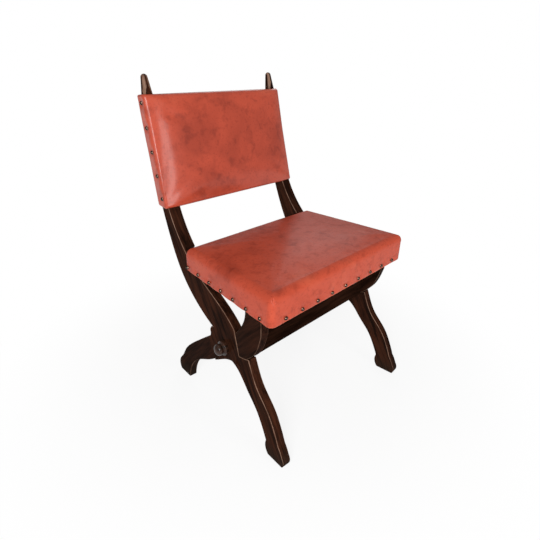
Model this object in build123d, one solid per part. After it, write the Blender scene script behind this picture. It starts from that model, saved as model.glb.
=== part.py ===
from build123d import *
import math
import os

os.makedirs("parts", exist_ok=True)

# Upholstered X-frame side chair.  Units mm, +Z up, the chair faces -Y.
# Every piece is modelled about the seat's centre line, and the whole chair is
# moved at the end so that its origin is the bottom centre of its bounding box.

# ---- driving dimensions ----------------------------------------------------
FRAME_T = 24.0            # thickness of each side-frame board, along X
RECESS = 1.5              # bracket boards' outer faces behind the posts' outer faces
POST_T = 34.0             # thickness of the posts between seat and finial
FRAME_HALF = 243.0        # half width over the side frames at Y = 0
SPLAY = 0.078             # each side frame moves inwards this much per mm of depth
ARRIS = 2.0               # worn rounding along the edges of the boards

HUB_Y = 12.0              # centre of the crossing
HUB_Z = 230.0
TOE_Y = -229.0            # most forward point of the front feet
HEEL_Y = 271.0            # most rearward point of the rear feet
SEAT_BASE = 390.0         # underside of the seat frame, top of the brackets
SEAT_FRONT = -177.0
SEAT_REAR = 177.0
SEAT_THICK_FRONT = 78.0   # seat frame and cushion together, at the front edge
SEAT_THICK_REAR = 62.0
SEAT_CROWN = 10.0         # rise of the seat's middle over its edges
SEAT_PROUD = 5.0          # cover outside the side frames
BACK_GAP = 81.0           # open space between the seat's rear edge and the back pad
PAD_H = 273.0             # height of the back pad
FINIAL_H = 44.0           # finials above the back pad
TIP_R = 8.3               # their domed tips
BACK_PROUD = 8.5
PAD_FRONT_LOW = 243.0     # back pad's front and rear edges, bottom and top
PAD_REAR_LOW = 285.0
PAD_FRONT_HIGH = 302.0
PAD_REAR_HIGH = 345.0
PAD_BULGE = 5.0

BRACKET_FRONT = -136.0    # front edge of the bracket at the seat
BRACKET_REAR = -76.0
POST_FRONT_LOW = 250.0    # post at the pad's bottom edge, front and rear
POST_REAR_LOW = 287.0
POST_FRONT_HIGH = 321.0   # post at the pad's top edge
POST_REAR_HIGH = 343.0

RAIL_H = 40.0             # seat rails
RAIL_T = 22.0
BOARD_FRONT = -77.0       # front board between the brackets
BOARD_T = 22.0
BOARD_BOTTOM = 240.0
BOARD_TOP = 345.0
TENON = 10.0              # depth of the stub tenons
BAR_END_D = 28.0          # turned hub stretcher
BAR_MID_D = 38.0
PIN_D = 18.0              # its tenon through the crossing
PIN_STICKS_OUT = 14.0
KNOB_D = 40.0
KNOB_H = 28.0

LEATHER = 2.2
CORNER_R = 15.0           # upright front corners of the seat
REAR_CORNER_R = 10.5
EDGE_R = 10.0             # upper edges of the seat
BACK_EDGE_R = 8.0         # front edges of the back
GAP = 0.3                 # clearance round soft pieces
NAIL_D = 10.0
NAIL_H = 3.6
SHANK_D = 1.8
SHANK_L = 12.0
NAIL_MARGIN = 9.0         # seat nails above the cover's lower edge
FRONT_NAILS = 9
FRONT_NAIL_PITCH = 53.7
SIDE_NAILS = 7
SIDE_NAIL_PITCH = 50.6
SIDE_NAIL_REAR = SEAT_REAR - 12.3
BACK_NAILS = 5
DOWEL_D = 8.0
STRAP_W = 50.0
STRAP_T = 1.5
HESSIAN_T = 1.0


# ---- heights and stretches that follow from them -----------------------------
SEAT_TOP_FRONT = SEAT_BASE + SEAT_THICK_FRONT
SEAT_TOP_REAR = SEAT_BASE + SEAT_THICK_REAR
BACK_BASE = SEAT_TOP_REAR + BACK_GAP
BACK_TOP = BACK_BASE + PAD_H
TOTAL_H = BACK_TOP + FINIAL_H        # tips of the finials
# The boards' curves are drawn for a hub 230 high, 160 below the seat frame, a back pad 143
# above the seat frame's underside and feet 500 apart, and stretch with the real distances.
down = HUB_Z / 230
up = (SEAT_BASE - HUB_Z) / 160
neck = (BACK_BASE - SEAT_BASE) / 143
deep = (HEEL_Y - TOE_Y) / 500
SEAT_NAIL_Z = SEAT_BASE + NAIL_MARGIN
BACK_NAIL_LOW = (PAD_REAR_LOW - 21, BACK_BASE + 25)
BACK_NAIL_HIGH = (PAD_REAR_HIGH - 20, BACK_TOP - 21)


# ---- helpers ---------------------------------------------------------------
def half(y):
    """Half width over the side frames' outer faces at depth y."""
    return FRAME_HALF - SPLAY * y


def plan_block(offset, y0, y1, z0, z1):
    """Block between two depths whose sides follow the side frames."""
    plan = Polygon(
        (-half(y0) - offset, y0),
        (half(y0) + offset, y0),
        (half(y1) + offset, y1),
        (-half(y1) - offset, y1),
        align=None,
    )
    return Pos(0, 0, z0) * extrude(plan, z1 - z0, dir=(0, 0, 1))


def across(outline, half_length=400.0):
    """Side-view outline in (Y, Z) swept to both sides of the centre line."""
    placed = Plane.YZ * outline
    return extrude(placed, half_length, both=True)


SPLAY_ANGLE = math.atan(SPLAY)
BOARD_N = FRAME_T * math.cos(SPLAY_ANGLE)   # a board's thickness square to its faces
SIDE = Plane(
    origin=(-FRAME_HALF, 0, 0),
    x_dir=(math.sin(SPLAY_ANGLE), math.cos(SPLAY_ANGLE), 0),
    z_dir=(math.cos(SPLAY_ANGLE), -math.sin(SPLAY_ANGLE), 0),
)


def on_side(shape):
    """Place a shape drawn in (depth, height, inwards) on the left side frame."""
    return SIDE.location * shape


def other_side(shape):
    return mirror(shape, about=Plane.YZ)


def depth(along):
    """Depth in the chair of a point drawn this far along a side frame."""
    return along * math.cos(SPLAY_ANGLE)


def post_front(z):
    t = (z - BACK_BASE) / (BACK_TOP - BACK_BASE)
    return POST_FRONT_LOW + t * (POST_FRONT_HIGH - POST_FRONT_LOW)


def post_rear(z):
    t = (z - BACK_BASE) / (BACK_TOP - BACK_BASE)
    return POST_REAR_LOW + t * (POST_REAR_HIGH - POST_REAR_LOW)


def closed(*edges):
    return make_face(Curve() + list(edges))


def joined(shapes):
    whole = shapes[0]
    for shape in shapes[1:]:
        whole = whole + shape
    return whole


def both_sides(shapes):
    return shapes + [other_side(shape) for shape in shapes]


# ---- side frame, board A: finial, back post, crossing, front leg ------------
# The outline runs down the rear edge, round the foot and up the front edge.
tip_y = POST_REAR_HIGH - 3
a_finial_front = (POST_FRONT_HIGH, BACK_TOP)
a_finial_rear = (POST_REAR_HIGH, BACK_TOP)
a_blank_front = (tip_y - 10, TOTAL_H + 4)   # the finial's blank, cut to a bullet below
a_blank_rear = (tip_y + 8, TOTAL_H + 4)
a_rear_low = (POST_REAR_LOW, BACK_BASE)
a_nick = (HUB_Y + 52 * deep, HUB_Z + 36)
a_ear_top = (HUB_Y + 66 * deep, HUB_Z + 18)
a_ear_low = (HUB_Y + 48 * deep, HUB_Z - 71 * down)
a_crotch = (HUB_Y - 32 * deep, HUB_Z - 26 * down)
a_heel = (TOE_Y + 69 * deep, 42 * down)
a_heel_low = (TOE_Y + 64 * deep, 3 * down)
a_toe_back = (TOE_Y + 61 * deep, 0)
a_toe_front = (TOE_Y + 4 * deep, 0)
a_toe_top = (TOE_Y + 6 * deep, 30 * down)
a_ankle = (TOE_Y + 21 * deep, 57 * down)
a_leg_top = (HUB_Y - 102 * deep, HUB_Z + 21 * up)
a_lap_low = (HUB_Y - 63 * deep, HUB_Z + 9 * up)
a_crook = (HUB_Y - 44 * deep, HUB_Z + 78 * up)
a_front_low = (POST_FRONT_LOW, BACK_BASE)

a_outline = closed(
    Line(a_finial_front, a_blank_front),
    Line(a_blank_front, a_blank_rear),
    Line(a_blank_rear, a_finial_rear),
    Line(a_finial_rear, a_rear_low),
    Spline(
        a_rear_low,
        (HUB_Y + 258 * deep, SEAT_BASE + 98 * neck),
        (HUB_Y + 228 * deep, SEAT_BASE + 30 * neck),
        (HUB_Y + 196 * deep, SEAT_BASE - 22 * up),
        (HUB_Y + 157 * deep, SEAT_BASE - 63 * up),
        (HUB_Y + 107 * deep, HUB_Z + 62),
        a_nick,
    ),
    Spline(a_nick, (HUB_Y + 60 * deep, HUB_Z + 32), a_ear_top),
    Spline(
        a_ear_top,
        (HUB_Y + 66 * deep, HUB_Z + 3),
        (HUB_Y + 76 * deep, HUB_Z - 15 * down),
        (HUB_Y + 67 * deep, HUB_Z - 40 * down),
        a_ear_low,
    ),
    Spline(a_ear_low, (HUB_Y + 12 * deep, HUB_Z - 47 * down), (HUB_Y - 14 * deep, HUB_Z - 32 * down), a_crotch),
    Spline(
        a_crotch,
        (HUB_Y - 55 * deep, HUB_Z - 36 * down),
        (HUB_Y - 99 * deep, HUB_Z - 81 * down),
        (HUB_Y - 130 * deep, HUB_Z - 113 * down),
        (TOE_Y + 91 * deep, 87 * down),
        a_heel,
    ),
    Spline(a_heel, (TOE_Y + 72 * deep, 27 * down), a_heel_low),
    Line(a_heel_low, a_toe_back),
    Line(a_toe_back, a_toe_front),
    Spline(a_toe_front, (TOE_Y, 10 * down), a_toe_top),
    Spline(a_toe_top, (TOE_Y + 13 * deep, 45 * down), a_ankle),
    Spline(
        a_ankle,
        (TOE_Y + 38 * deep, 96 * down),
        (TOE_Y + 61 * deep, 135 * down),
        (HUB_Y - 133 * deep, HUB_Z - 43 * down),
        (HUB_Y - 113 * deep, HUB_Z - 5 * down),
        a_leg_top,
    ),
    Spline(a_leg_top, (HUB_Y - 80 * deep, HUB_Z + 13 * up), a_lap_low),
    Spline(a_lap_low, (HUB_Y - 55 * deep, HUB_Z + 38 * up), a_crook),
    Spline(
        a_crook,
        (HUB_Y + 20 * deep, SEAT_BASE - 40 * up),
        (HUB_Y + 96 * deep, SEAT_BASE - 4 * up),
        (HUB_Y + 156 * deep, SEAT_BASE + 36 * neck),
        (HUB_Y + 208 * deep, SEAT_BASE + 92 * neck),
        a_front_low,
    ),
    Line(a_front_low, a_finial_front),
)

# ---- side frame, board B: bracket, crossing, rear leg -----------------------
b_top_rear = (BRACKET_REAR, SEAT_BASE)
b_sole_rear = (HEEL_Y - 6 * deep, 0)
b_sole_front = (HEEL_Y - 59 * deep, 0)
b_front_high = (BRACKET_FRONT, SEAT_BASE - 45 * up)
b_top_front = (BRACKET_FRONT, SEAT_BASE)

b_outline = closed(
    Spline(
        b_top_rear,
        (BRACKET_REAR + 3, SEAT_BASE - 28 * up),
        (HUB_Y - 67 * deep, HUB_Z + 95 * up),
        (HUB_Y - 50 * deep, HUB_Z + 73 * up),
        (HUB_Y - 12 * deep, HUB_Z + 46 * up),
        (HUB_Y + 72 * deep, HUB_Z - 7 * down),
        (HUB_Y + 131 * deep, HUB_Z - 53 * down),
        (HEEL_Y - 70 * deep, 126 * down),
        (HEEL_Y - 45 * deep, 97 * down),
        (HEEL_Y - 20 * deep, 57 * down),
        (HEEL_Y - 4 * deep, 36 * down),
        (HEEL_Y, 16 * down),
        b_sole_rear,
    ),
    Line(b_sole_rear, b_sole_front),
    Spline(
        b_sole_front,
        (HEEL_Y - 64 * deep, 24 * down),
        (HEEL_Y - 82 * deep, 63 * down),
        (HEEL_Y - 121 * deep, 103 * down),
        (HUB_Y + 83 * deep, HUB_Z - 93 * down),
        (HUB_Y + 48 * deep, HUB_Z - 67 * down),
        (HUB_Y + 12 * deep, HUB_Z - 40 * down),
        (HUB_Y - 26 * deep, HUB_Z - 18 * down),
        (HUB_Y - 97 * deep, HUB_Z + 21 * up),
        (BRACKET_FRONT + 22, HUB_Z + 54 * up),
        (BRACKET_FRONT + 7, HUB_Z + 90 * up),
        b_front_high,
    ),
    Line(b_front_high, b_top_front),
    Line(b_top_front, b_top_rear),
)

# Behind the seat the board steps out on its inner side, square to its own run, to the thicker post.
mid = BOARD_N / 2
post_n = POST_T * math.cos(SPLAY_ANGLE)
step_z = SEAT_TOP_REAR - 8
a_whole = extrude(a_outline, BOARD_N)
b_whole = Pos(0, 0, RECESS) * extrude(b_outline, BOARD_N - RECESS)
step_y = HUB_Y + 173 * deep
step_turn = math.degrees(math.atan2(52 * deep, 56 * neck))
step_at = Pos(step_y, step_z, 0) * Rot(0, 0, -step_turn)
leg_room = step_at * Pos(0, -500, 0) * Box(1200, 1000, 200)
post_room = step_at * Pos(0, 500, 0) * Box(1200, 1000, 200)


def eased(board):
    """The board with the edges of both broad faces rounded, all but the sole's."""
    rim = board.faces().filter_by(Axis.Z).edges()
    return fillet([e for e in rim if e.center().Y > 0.01], ARRIS)


# The finial is rounded into a bullet.
finial_y = (POST_FRONT_HIGH + POST_REAR_HIGH) / 2
finial_lean = math.atan((tip_y - finial_y) / FINIAL_H)
tip_up = (FINIAL_H - TIP_R) / math.cos(finial_lean)
bullet = Pos(0, 0, (tip_up - 30) / 2) * Cone(17, TIP_R, tip_up + 30) + Pos(0, 0, tip_up) * Sphere(TIP_R)
bullet = Pos(finial_y, BACK_TOP, mid) * Rot(0, 0, -math.degrees(finial_lean)) * Rot(-90, 0, 0) * bullet
below_finial = Pos(0, (BACK_TOP - 10) / 2, mid) * Box(1200, BACK_TOP - 10, 3 * POST_T)
post = eased(extrude(a_outline, post_n)) & post_room & (bullet + below_finial)
a_board = (eased(a_whole) & leg_room) + post
b_board = eased(b_whole)

# The two boards are halved into each other and finish flush on their inner faces.
inner_half = Pos(0, SEAT_BASE, BOARD_N) * Box(1200, 1200, BOARD_N)
a_board = a_board - (b_whole & inner_half)
b_board = b_board - extrude(a_outline, mid)

# A shallow carved nick below the bracket, as if cut with one gouge stroke.
nick = Polygon(
    (HUB_Y - 51, HUB_Z - 19),
    (HUB_Y - 70, HUB_Z - 18),
    (HUB_Y - 53, HUB_Z - 4),
    align=None,
)
a_board = a_board - extrude(nick, 3, dir=(0, 0, 1))

left_a = on_side(a_board)
left_b = on_side(b_board)
left_a_whole = on_side(a_whole)
a_room = Pos(-GAP, GAP, -GAP) * extrude(a_outline, BOARD_N + 2 * GAP)
left_room = on_side(a_room)
right_room = other_side(left_room)

# ---- turned hub stretcher and knobs -----------------------------------------
inner_x = half(HUB_Y) - FRAME_T
pin_end = half(HUB_Y) + PIN_STICKS_OUT
r_end = BAR_END_D / 2
r_mid = BAR_MID_D / 2
r_pin = PIN_D / 2
bar_profile = closed(
    Line((0, 0), (pin_end, 0)),
    Line((pin_end, 0), (pin_end, r_pin)),
    Line((pin_end, r_pin), (inner_x + 6, r_pin)),
    Line((inner_x + 6, r_pin), (inner_x + 6, r_end)),
    Line((inner_x + 6, r_end), (inner_x - 26, r_end)),
    ThreePointArc((inner_x - 26, r_end), (inner_x - 32, r_end + 5), (inner_x - 38, r_end)),
    Spline((inner_x - 38, r_end), (inner_x / 2, r_mid - 1.5), (0, r_mid)),
    Line((0, r_mid), (0, 0)),
)
half_bar = revolve(bar_profile, Axis.X)
bar = half_bar + mirror(half_bar, about=Plane.YZ)
pin = Rot(0, 90, 0) * Cylinder(r_pin, 2 * pin_end)
bar = Pos(0, HUB_Y, HUB_Z) * bar
pin = Pos(0, HUB_Y, HUB_Z) * pin
between_frames = plan_block(-FRAME_T, HUB_Y - 60, HUB_Y + 60, HUB_Z - 60, HUB_Z + 60)
hub_stretcher = (bar & between_frames) + pin

r_knob = KNOB_D / 2
knob_profile = closed(
    Line((0, 0), (r_knob, 0)),
    Line((r_knob, 0), (r_knob, 5)),
    ThreePointArc((r_knob, 5), (r_knob - 1, 8), (r_knob - 4, 9)),
    Line((r_knob - 4, 9), (r_knob - 6, 11)),
    Line((r_knob - 6, 11), (r_knob - 5, 14)),
    Spline((r_knob - 5, 14), (r_knob - 5, 20), (r_knob - 11, KNOB_H - 2), (0, KNOB_H)),
    Line((0, KNOB_H), (0, 0)),
)
knob_blank = revolve(Plane.XZ * knob_profile, Axis.Z)
left_knob = on_side(Pos(HUB_Y, HUB_Z, 0) * Rot(180, 0, 0) * knob_blank) - pin

# ---- front board with stub tenons in the brackets ---------------------------
board_y = BOARD_FRONT + BOARD_T / 2
board_view = Pos(board_y, (BOARD_BOTTOM + BOARD_TOP) / 2) * Rectangle(BOARD_T, BOARD_TOP - BOARD_BOTTOM)
tenon_view = Pos(board_y, BOARD_BOTTOM + 52) * Rectangle(BOARD_T - 10, 64)
board_body = across(board_view) & plan_block(-FRAME_T, -200, 0, 0, SEAT_BASE)
board_tenons = across(tenon_view) & plan_block(TENON - FRAME_T, -200, 0, 0, SEAT_BASE)
front_board = board_body + board_tenons

# ---- seat frame -------------------------------------------------------------
rail_top = SEAT_BASE + RAIL_H
rail_mid = SEAT_BASE + RAIL_H / 2
front_y = SEAT_FRONT + SEAT_PROUD
front_in = front_y + RAIL_T
rear_y = SEAT_REAR - SEAT_PROUD
rear_in = rear_y - RAIL_T
front_rail = plan_block(0, front_y, front_in, SEAT_BASE, rail_top)
rear_rail = plan_block(-FRAME_T, rear_in, rear_y, SEAT_BASE, rail_top)
side_rails = plan_block(0, front_in, rear_y, SEAT_BASE, rail_top)
side_rails = side_rails - plan_block(-FRAME_T, front_in, rear_y, SEAT_BASE, rail_top)
left_rail = side_rails.solids().sort_by(Axis.X)[0] - left_a_whole
left_rail = left_rail.solids().sort_by(SortBy.VOLUME)[-1]


def corner_block(y, towards):
    """Triangular glue block in a left corner of the seat frame."""
    leg = 2 * RAIL_T
    x_corner = FRAME_T - half(y)
    plan = Polygon(
        (x_corner, y),
        (x_corner + leg, y),
        (FRAME_T - half(y + towards * leg), y + towards * leg),
        align=None,
    )
    return Pos(0, 0, SEAT_BASE + 2) * extrude(plan, RAIL_H - 4, dir=(0, 0, 1))


def block_screw(y, towards):
    """Countersunk screw through a glue block into the corner behind it."""
    head = Plane(
        origin=(FRAME_T - half(y) + 0.75 * RAIL_T, y + towards * 0.75 * RAIL_T, rail_mid),
        z_dir=(1, towards, 0),
    )
    outline = Polygon((0, 6), (4, 6), (2, 3), (2, -28), (0, -32), align=None)
    return head.location * revolve(Plane.XZ * outline, Axis.Z)


blocks = both_sides([corner_block(front_in, 1), corner_block(rear_in, -1)])
screws = both_sides([block_screw(front_in, 1), block_screw(rear_in, -1)])
screw_holes = joined(screws)
blocks = [block - screw_holes for block in blocks]


def dowel(x, y, z, turn, length):
    return Pos(x, y, z) * turn * Cylinder(DOWEL_D / 2, length)


along_y = Rot(90, 0, 0)
along_x = Rot(0, 90, 0)
upright = Rot(0, 0, 0)
foot_1 = BRACKET_FRONT + 18
foot_2 = BRACKET_REAR - 14
dowels = both_sides(
    [
        dowel(mid - half(front_in), front_in, SEAT_BASE + 10, along_y, 34),
        dowel(mid - half(front_in), front_in, SEAT_BASE + 30, along_y, 34),
        dowel(FRAME_T - half(rear_in), rear_in + RAIL_T / 2, SEAT_BASE + 9, along_x, 34),
        dowel(mid - half(foot_1), foot_1, SEAT_BASE, upright, 36),
        dowel(mid - half(foot_2), foot_2, SEAT_BASE, upright, 36),
    ]
)
dowel_holes = joined(dowels)

# ---- webbing and hessian over the seat frame --------------------------------
long_z = rail_top + GAP
cross_z = long_z + STRAP_T + GAP
hessian_z = cross_z + STRAP_T + GAP
strap_y = (front_y + rear_y) / 2
strap_l = rear_y - front_y - 12
straps = []
for i in range(4):
    strap = Box(STRAP_W, strap_l, STRAP_T)
    straps.append(Pos((i - 1.5) * 2 * STRAP_W, strap_y, long_z + STRAP_T / 2) * strap)
for i in range(3):
    y = front_in + 20 + i * 1.7 * STRAP_W
    straps.append(plan_block(-6, y, y + STRAP_W, cross_z, cross_z + STRAP_T))
seat_hessian = plan_block(-4, front_y + 6, rear_y - 8, hessian_z, hessian_z + HESSIAN_T)


# ---- seat cushion -----------------------------------------------------------
def seat_body(inset, base):
    """Seat cushion, tapered to the rear and crowned; inset from its outside."""
    y0 = SEAT_FRONT + inset
    y1 = SEAT_REAR - inset
    z0 = SEAT_TOP_FRONT - inset
    z1 = SEAT_TOP_REAR - inset
    middle = (z0 + z1) / 2 + SEAT_CROWN
    side_view = closed(
        Line((y0, base), (y0, z0)),
        ThreePointArc((y0, z0), (0, middle), (y1, z1)),
        Line((y1, z1), (y1, base)),
        Line((y1, base), (y0, base)),
    )
    body = across(side_view) & plan_block(SEAT_PROUD - inset, y0, y1, base, rail_top + 200)
    corners = body.edges().filter_by(Axis.Z).sort_by(Axis.Y)
    body = fillet(corners[2:], REAR_CORNER_R - inset)
    corners = body.edges().filter_by(Axis.Z).sort_by(Axis.Y)
    body = fillet(corners[:2], CORNER_R - inset)
    crown = body.faces().sort_by(Axis.Z)[-1]
    return fillet(crown.edges(), EDGE_R - inset)


seat_core = plan_block(GAP, front_y - GAP, rear_y + GAP, 0, hessian_z + HESSIAN_T + GAP)
seat_leather = seat_body(0, SEAT_BASE) - seat_body(LEATHER, SEAT_BASE - 20)
seat_leather = seat_leather - left_room - right_room
seat_stuffing = seat_body(LEATHER + GAP, SEAT_BASE + 2) - seat_core
seat_stuffing = seat_stuffing - left_room - right_room


# ---- back rest --------------------------------------------------------------
def back_slab(front, rear, z0, z1):
    """Side view of a slab that lies at two distances behind the posts' fronts."""
    outline = Polygon(
        (depth(post_front(z0)) + front, z0),
        (depth(post_front(z0)) + rear, z0),
        (depth(post_front(z1)) + rear, z1),
        (depth(post_front(z1)) + front, z1),
        align=None,
    )
    return across(outline)


def back_width(offset_x):
    return plan_block(offset_x, 150, 420, 450, 900)


def back_rail(z0, z1):
    rail = back_slab(3.5, 19.5, z0, z1) & back_width(-POST_T)
    tenons = back_slab(6.5, 16.5, z0 + 5, z1 - 5) & back_width(TENON - POST_T)
    return rail + tenons


def back_body(inset, rear_extra, side_offset):
    """Back pad with a slightly full front; inset on all but its open rear."""
    z0 = BACK_BASE + inset
    z1 = BACK_TOP - inset
    y0 = PAD_FRONT_LOW + inset
    y1 = PAD_FRONT_HIGH + inset
    side_view = closed(
        ThreePointArc((y0, z0), ((y0 + y1) / 2 - PAD_BULGE, (z0 + z1) / 2), (y1, z1)),
        Line((y1, z1), (PAD_REAR_HIGH + rear_extra, z1)),
        Line((PAD_REAR_HIGH + rear_extra, z1), (PAD_REAR_LOW + rear_extra, z0)),
        Line((PAD_REAR_LOW + rear_extra, z0), (y0, z0)),
    )
    body = across(side_view) & back_width(side_offset)
    broad = body.faces().sort_by(SortBy.AREA)[-2:]
    front = min(broad, key=lambda face: face.center().Y)
    return fillet(front.edges(), BACK_EDGE_R - inset)


back_top_rail = back_rail(BACK_TOP - 44, BACK_TOP - 8)
back_bottom_rail = back_rail(BACK_BASE + 8, BACK_BASE + 44)
back_straps = []
for i in range(4):
    strip = Pos((i - 1.5) * 1.8 * STRAP_W, 300, 700) * Box(STRAP_W, 400, 500)
    back_straps.append(back_slab(1.6, 3.1, BACK_BASE + 12, BACK_TOP - 12) & strip)
back_hessian = back_slab(GAP, GAP + HESSIAN_T, BACK_BASE + 10, BACK_TOP - 10)
back_hessian = back_hessian & back_width(-POST_T - 2)
skin = LEATHER + GAP
back_core = back_slab(-GAP, 120, 400, 900) & back_width(GAP)
post_view = Polygon(
    (depth(post_front(BACK_BASE - 50)) - GAP, BACK_BASE - 50),
    (depth(post_rear(BACK_BASE - 50)) + GAP, BACK_BASE - 50),
    (depth(post_rear(TOTAL_H)) + GAP, TOTAL_H),
    (depth(post_front(TOTAL_H)) - GAP, TOTAL_H),
    align=None,
)
post_slot = across(post_view) & (back_width(GAP) - back_width(-POST_T - GAP))
back_leather = back_body(0, 0, BACK_PROUD) - back_body(LEATHER, 30, BACK_PROUD - LEATHER) - post_slot
back_stuffing = back_body(skin, -skin, BACK_PROUD - skin) - back_core
rear_low = depth(post_rear(BACK_BASE + 4))
rear_high = depth(post_rear(BACK_TOP - 4))
rear_view = Polygon(
    (rear_low + GAP, BACK_BASE + 4),
    (rear_low + GAP + 1.5, BACK_BASE + 4),
    (rear_high + GAP + 1.5, BACK_TOP - 4),
    (rear_high + GAP, BACK_TOP - 4),
    align=None,
)
back_rear_cover = across(rear_view) & back_width(-3)

# ---- round-headed upholstery nails ------------------------------------------
nail_outline = closed(
    ThreePointArc((0, NAIL_H), (0.36 * NAIL_D, 0.6 * NAIL_H), (NAIL_D / 2, 0)),
    Line((NAIL_D / 2, 0), (SHANK_D / 2, 0)),
    Line((SHANK_D / 2, 0), (SHANK_D / 2, 3 - SHANK_L)),
    Line((SHANK_D / 2, 3 - SHANK_L), (0, -SHANK_L)),
    Line((0, -SHANK_L), (0, NAIL_H)),
)
nail = revolve(Plane.XZ * nail_outline, Axis.Z)
nail_hole = Pos(0, 0, (1 - SHANK_L) / 2) * Cylinder(SHANK_D / 2, SHANK_L + 1)


def side_spot(along, height, proud):
    """Where a nail goes in through the left side of a cover."""
    return SIDE.location * Pos(along, height, -proud * math.cos(SPLAY_ANGLE)) * Rot(180, 0, 0)


front_spots = []
for i in range(FRONT_NAILS):
    x = (i - (FRONT_NAILS - 1) / 2) * FRONT_NAIL_PITCH
    front_spots.append(Pos(x, SEAT_FRONT, SEAT_NAIL_Z) * Rot(90, 0, 0))
left_spots = []
for i in range(SIDE_NAILS):
    left_spots.append(side_spot(SIDE_NAIL_REAR - i * SIDE_NAIL_PITCH, SEAT_NAIL_Z, SEAT_PROUD))
back_spots = []
for i in range(BACK_NAILS):
    t = i / (BACK_NAILS - 1)
    along = BACK_NAIL_LOW[0] + t * (BACK_NAIL_HIGH[0] - BACK_NAIL_LOW[0])
    height = BACK_NAIL_LOW[1] + t * (BACK_NAIL_HIGH[1] - BACK_NAIL_LOW[1])
    back_spots.append(side_spot(along, height, BACK_PROUD))

front_nails = [spot * nail for spot in front_spots]
left_nails = [spot * nail for spot in left_spots]
left_back_nails = [spot * nail for spot in back_spots]
front_nail_holes = joined([spot * nail_hole for spot in front_spots])
left_nail_holes = joined([spot * nail_hole for spot in left_spots])
back_nail_holes = joined(both_sides([spot * nail_hole for spot in back_spots]))
seat_nail_holes = front_nail_holes + left_nail_holes + other_side(left_nail_holes)

# ---- holes for pins, dowels, screws and nails -------------------------------
left_a = left_a - pin - dowel_holes - screw_holes - left_nail_holes - back_nail_holes
left_a = left_a - back_top_rail - back_bottom_rail
left_b = left_b - pin - dowel_holes - board_tenons - left_nail_holes
front_rail = front_rail - dowel_holes - screw_holes - front_nail_holes
rear_rail = rear_rail - dowel_holes - screw_holes
left_rail = left_rail - dowel_holes - screw_holes - left_nail_holes
seat_leather = seat_leather - seat_nail_holes
seat_stuffing = seat_stuffing - seat_nail_holes
back_leather = back_leather - back_nail_holes
back_stuffing = back_stuffing - back_nail_holes


# ---- export -----------------------------------------------------------------
def group(shapes):
    return Compound(children=[s for shape in shapes for s in shape.solids()])


pieces = {
    "left_post_and_front_leg": left_a,
    "right_post_and_front_leg": other_side(left_a),
    "left_bracket_and_rear_leg": left_b,
    "right_bracket_and_rear_leg": other_side(left_b),
    "hub_stretcher": hub_stretcher,
    "left_hub_knob": left_knob,
    "right_hub_knob": other_side(left_knob),
    "front_board": front_board,
    "seat_front_rail": front_rail,
    "seat_rear_rail": rear_rail,
    "seat_left_rail": left_rail,
    "seat_right_rail": other_side(left_rail),
    "seat_corner_blocks": group(blocks),
    "seat_block_screws": group(screws),
    "seat_dowels": group(dowels),
    "seat_webbing": group(straps),
    "seat_hessian": seat_hessian,
    "seat_stuffing": seat_stuffing,
    "seat_leather": seat_leather,
    "seat_front_nails": group(front_nails),
    "seat_left_nails": group(left_nails),
    "seat_right_nails": group([other_side(n) for n in left_nails]),
    "back_top_rail": back_top_rail,
    "back_bottom_rail": back_bottom_rail,
    "back_webbing": group(back_straps),
    "back_hessian": back_hessian,
    "back_stuffing": back_stuffing,
    "back_leather": back_leather,
    "back_rear_cover": back_rear_cover,
    "back_left_nails": group(left_back_nails),
    "back_right_nails": group([other_side(n) for n in left_back_nails]),
}

low_y = min(piece.bounding_box().min.Y for piece in pieces.values())
high_y = max(piece.bounding_box().max.Y for piece in pieces.values())
centre = Pos(0, -(low_y + high_y) / 2, 0)
for name, piece in pieces.items():
    export_step(centre * piece, "parts/%s.step" % name)
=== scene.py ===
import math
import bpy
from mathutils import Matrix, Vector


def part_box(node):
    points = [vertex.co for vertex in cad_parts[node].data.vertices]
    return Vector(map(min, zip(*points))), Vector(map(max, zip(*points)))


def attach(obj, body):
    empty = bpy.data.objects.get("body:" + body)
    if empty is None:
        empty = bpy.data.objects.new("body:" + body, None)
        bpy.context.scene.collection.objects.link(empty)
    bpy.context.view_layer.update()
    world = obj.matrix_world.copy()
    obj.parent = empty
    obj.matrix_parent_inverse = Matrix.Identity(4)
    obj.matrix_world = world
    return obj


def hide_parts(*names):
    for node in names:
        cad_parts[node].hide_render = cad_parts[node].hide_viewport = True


bl_info = {
    "name": "Upholstered X-frame side chair",
    "version": (1, 0, 0),
    "blender": (4, 5, 0),
    "location": "View3D > Sidebar > Chair",
    "description": "Dresses the chair's frame with stained oak, padded leather, jute and bronze nails",
    "category": "Object",
}

import bmesh
import bpy
import numpy as np
from mathutils import Matrix, Vector, noise

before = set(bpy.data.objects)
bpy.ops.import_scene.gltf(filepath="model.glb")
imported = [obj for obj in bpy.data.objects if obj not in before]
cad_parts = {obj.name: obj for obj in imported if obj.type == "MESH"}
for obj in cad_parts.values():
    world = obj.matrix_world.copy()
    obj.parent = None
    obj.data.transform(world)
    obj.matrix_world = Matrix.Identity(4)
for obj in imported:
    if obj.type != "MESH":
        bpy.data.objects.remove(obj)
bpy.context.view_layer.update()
SEAT_LOW, SEAT_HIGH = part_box("seat_leather")
BACK_LOW, BACK_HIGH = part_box("back_leather")
MID_Y = (SEAT_LOW.y + SEAT_HIGH.y) / 2
SEAT_HALF_DEPTH = (SEAT_HIGH.y - SEAT_LOW.y) / 2
BACK_HALF_HEIGHT = (BACK_HIGH.z - BACK_LOW.z) / 2
BACK_MID_Z = (BACK_HIGH.z + BACK_LOW.z) / 2


# ---- sizes and colours a user may change -------------------------------------
def length(name, description, default, **more):
    return bpy.props.FloatProperty(
        name=name, description=description, default=default, unit="LENGTH", precision=4, **more)


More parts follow.
